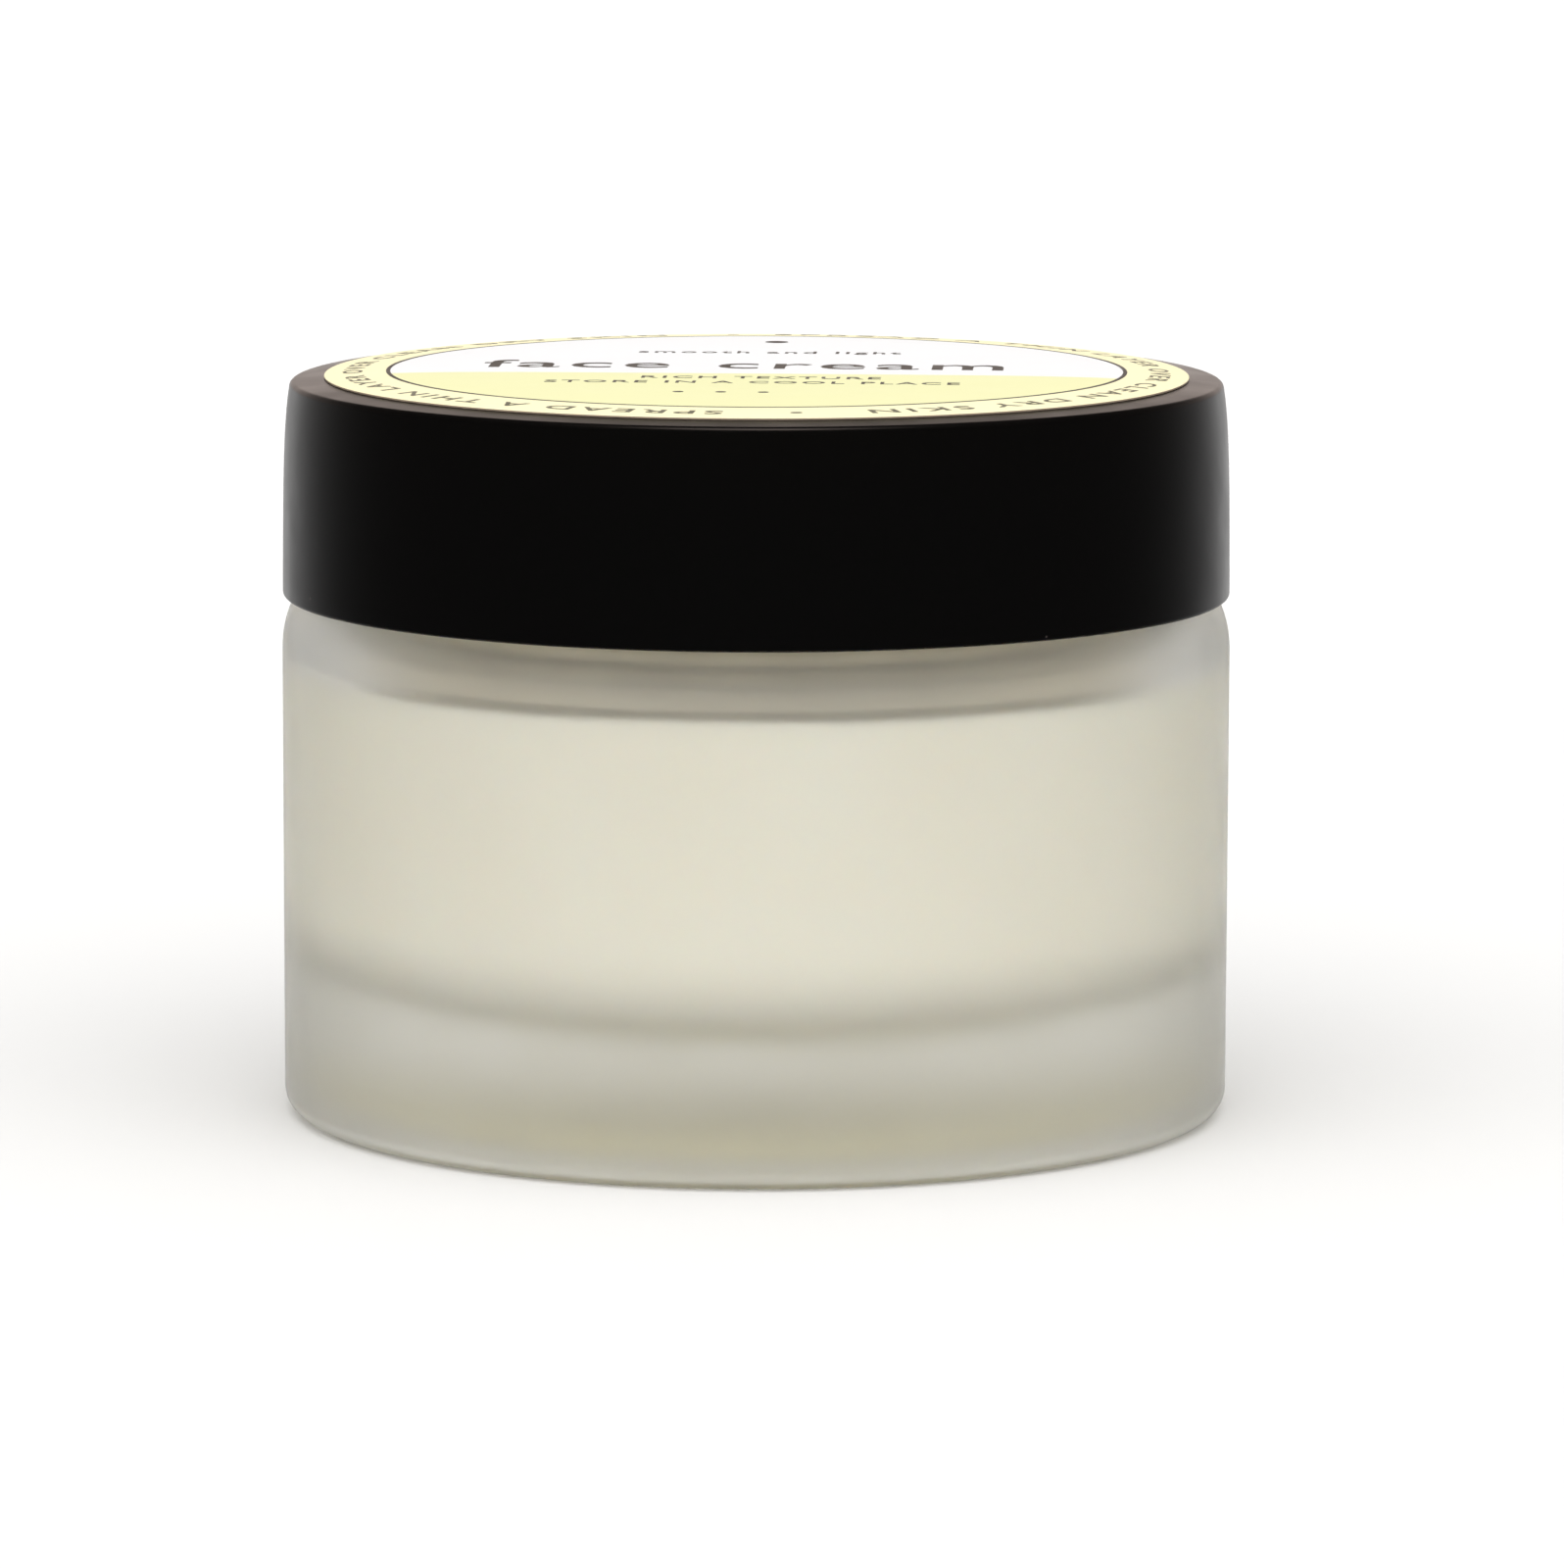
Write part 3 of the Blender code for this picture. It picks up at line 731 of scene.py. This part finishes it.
def ring_line(name, radius, width, top_z, finish):
    """A thin printed circle."""
    mesh = bmesh.new()
    near, far = radius - width / 2, radius + width / 2
    rings = []
    for reach, lift in ((near, 0), (near, PRINT_THICKNESS), (far, PRINT_THICKNESS), (far, 0)):
        height = crown_z(reach, top_z) + lift
        ring = []
        for index in range(SEGMENTS):
            angle = math.tau * index / SEGMENTS
            ring.append(mesh.verts.new((reach * math.cos(angle), reach * math.sin(angle), height)))
        rings.append(ring)
    for number, ring in enumerate(rings):
        other = rings[(number + 1) % len(rings)]
        for index in range(SEGMENTS):
            after = (index + 1) % SEGMENTS
            mesh.faces.new((ring[index], ring[after], other[after], other[index]))
    add_piece(to_object(mesh, name, [finish]), "lid", "label_paper")


def foot_label_piece():
    top_z = FOOT_LABEL_TOP_Z + 0.1  # just inside the glass, so that no air lies between
    corners = [(0, FOOT_LABEL_Z, 0), (FOOT_LABEL_RADIUS, FOOT_LABEL_Z, 0.05),
               (FOOT_LABEL_RADIUS, top_z, 0.05), (0, top_z, 0)]
    finish = plain_finish("foot_label_yellow", (0.91, 0.86, 0.60), 0.42, 0.6, 0.0, 0.97)
    label = revolve("foot_label_sheet", [(rounded(corners, 2), 0)], [finish])
    add_piece(label, "jar", "base_label_paper", "base_label")


# ---------------------------------------------------------------- studio


def camera():
    """Long lens in front of the jar, a little above it and looking down."""
    place = Vector(CAMERA_PLACE) * MM
    pitch, yaw, roll = CAMERA_PITCH, CAMERA_YAW, CAMERA_ROLL
    forward = Vector((math.sin(yaw) * math.cos(pitch), math.cos(yaw) * math.cos(pitch), -math.sin(pitch)))
    level = Vector((math.cos(yaw), -math.sin(yaw), 0.0))
    upright = level.cross(forward)
    right = level * math.cos(roll) + upright * math.sin(roll)
    up = right.cross(forward)
    data = bpy.data.cameras.new("camera")
    data.sensor_fit = "VERTICAL"
    data.sensor_height = CAMERA_SENSOR
    data.lens = CAMERA_LENS
    data.clip_start = 0.01
    made = bpy.data.objects.new("camera", data)
    axes = Matrix((right, up, -forward)).transposed()
    made.matrix_world = Matrix.Translation(place) @ axes.to_4x4()
    bpy.context.scene.collection.objects.link(made)
    bpy.context.scene.camera = made


def floor():
    mesh = bmesh.new()
    bmesh.ops.create_circle(mesh, cap_ends=True, radius=FLOOR_RADIUS, segments=96)
    paper = Finish("studio_paper", (0.72, 0.717, 0.715), 0.9)
    paper.set("Specular IOR Level", 0.0)
    made = to_object(mesh, "studio_floor", [paper.material])
    made.visible_glossy = False


def world():
    """A white tent for matt surfaces. Glossy ones mirror a dark front and lights behind and above."""
    made = bpy.data.worlds.new("studio")
    bpy.context.scene.world = made
    made.use_nodes = True
    made.cycles.sampling_method = "NONE"
    made.node_tree.nodes.clear()
    sky = Nodes(made.node_tree)
    direction = sky.add("ShaderNodeTexCoord").outputs["Generated"]

    def towards(target):
        node = sky.add("ShaderNodeVectorMath", operation="DOT_PRODUCT")
        sky.link(direction, node.inputs[0])
        node.inputs[1].default_value = target
        return node.outputs["Value"]

    def background(colour, strength):
        node = sky.add("ShaderNodeBackground")
        sky.fill(node.inputs["Color"], colour)
        sky.fill(node.inputs["Strength"], strength)
        return node.outputs[0]

    def choose(test, first, second):
        node = sky.add("ShaderNodeMixShader")
        for socket, source in zip(node.inputs, (test, first, second)):
            sky.link(source, socket)
        return node.outputs[0]

    axes = sky.add("ShaderNodeSeparateXYZ")
    sky.link(direction, axes.inputs[0])
    height = axes.outputs["Z"]
    behind = sky.math("MULTIPLY", sky.math("ADD", axes.outputs["Y"], 1.0), 0.5)
    fading = sky.between(height, BACK_LIGHT, 0.05, 0.25, 0.36, "SMOOTHSTEP")
    back = sky.math("MULTIPLY", sky.math("POWER", behind, BACK_FOCUS), fading)
    top = sky.between(towards(TOP_DIRECTION), 0.04, TOP_LIGHT, 0.95, 0.98, "SMOOTHSTEP")
    mirrored = sky.math("ADD", back, top)
    rising = sky.between(height, 0.0, 1.0, 0.0, 0.12, "SMOOTHSTEP")
    warm = sky.blend(rising, (1.0, 0.99, 0.985), (1.0, 0.84, 0.76))
    soft = sky.between(towards(KEY_DIRECTION), TENT_LIGHT, TENT_LIGHT + KEY_LIGHT, -0.1, 1.0, "SMOOTHSTEP")
    rays = sky.add("ShaderNodeLightPath").outputs
    # A ray that has passed through rough glass counts as glossy too, and has to see the tent.
    reflected = sky.math("SUBTRACT", rays["Is Glossy Ray"], rays["Is Transmission Ray"], use_clamp=True)
    lit = choose(reflected, background((1.0, 0.995, 0.985), soft), background(warm, mirrored))
    seen = choose(rays["Is Camera Ray"], lit, background(BACKDROP, 1.0))
    sky.link(seen, sky.add("ShaderNodeOutputWorld").inputs["Surface"])


def studio():
    scene = bpy.context.scene
    scene.view_settings.view_transform = "Standard"
    scene.view_settings.look = "None"
    camera()
    floor()
    world()


jar_piece()
cream_piece()
foot_label_piece()
disc_piece()
liner_piece()
cap_piece()
shell_piece()
label_piece()
lid_print()
studio()
